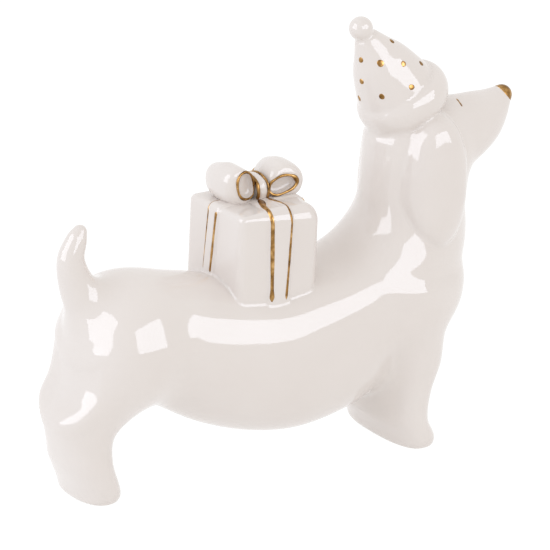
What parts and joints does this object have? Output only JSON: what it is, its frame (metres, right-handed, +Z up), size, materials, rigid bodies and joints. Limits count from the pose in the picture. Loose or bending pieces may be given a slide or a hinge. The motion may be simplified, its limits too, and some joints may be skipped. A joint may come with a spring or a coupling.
{
  "type": "dog figurine",
  "caption": "Glazed ceramic dachshund ornament in a party hat, with a ribboned gift box and bow on its back and gold lustre trim.",
  "frame": {"origin": "on the floor under the middle of the whole figurine, in the plane of its soles", "axes": "+X along the dog towards its nose, +Y towards its left side, +Z up"},
  "size_m": [0.1826, 0.0522, 0.1513],
  "materials": {
    "white_glaze": "high gloss warm white glaze over earthenware",
    "gold_lustre": "fired gold lustre, bright and slightly streaky"
  },
  "bodies": {
    "root": {"body_casting": "white_glaze", "bow_knot": "white_glaze", "bow_loop_front": "white_glaze", "bow_loop_rear": "white_glaze", "ear_left": "white_glaze", "ear_right": "white_glaze", "gift_box": "white_glaze", "hat_brim": "white_glaze", "hat_cone": "white_glaze", "hat_dot_1": "gold_lustre", "hat_dot_10": "gold_lustre", "hat_dot_11": "gold_lustre", "hat_dot_12": "gold_lustre", "hat_dot_13": "gold_lustre", "hat_dot_14": "gold_lustre", "hat_dot_15": "gold_lustre", "hat_dot_16": "gold_lustre", "hat_dot_2": "gold_lustre", "hat_dot_3": "gold_lustre", "hat_dot_4": "gold_lustre", "hat_dot_5": "gold_lustre", "hat_dot_6": "gold_lustre", "hat_dot_7": "gold_lustre", "hat_dot_8": "gold_lustre", "hat_dot_9": "gold_lustre", "lash_left": "gold_lustre", "lash_right": "gold_lustre", "lustre_front_a": "gold_lustre", "lustre_front_b": "gold_lustre", "lustre_knot_front": "gold_lustre", "lustre_knot_rear": "gold_lustre", "lustre_left_a": "gold_lustre", "lustre_left_b": "gold_lustre", "lustre_loop_front_far": "gold_lustre", "lustre_loop_front_near": "gold_lustre", "lustre_loop_rear_far": "gold_lustre", "lustre_loop_rear_near": "gold_lustre", "lustre_rear_a": "gold_lustre", "lustre_rear_b": "gold_lustre", "lustre_right_a": "gold_lustre", "lustre_right_b": "gold_lustre", "nose_lustre": "gold_lustre", "pompom": "white_glaze", "ribbon_front": "white_glaze", "ribbon_left": "white_glaze", "ribbon_rear": "white_glaze", "ribbon_right": "white_glaze", "tail": "white_glaze"}
  },
  "joints": []
}
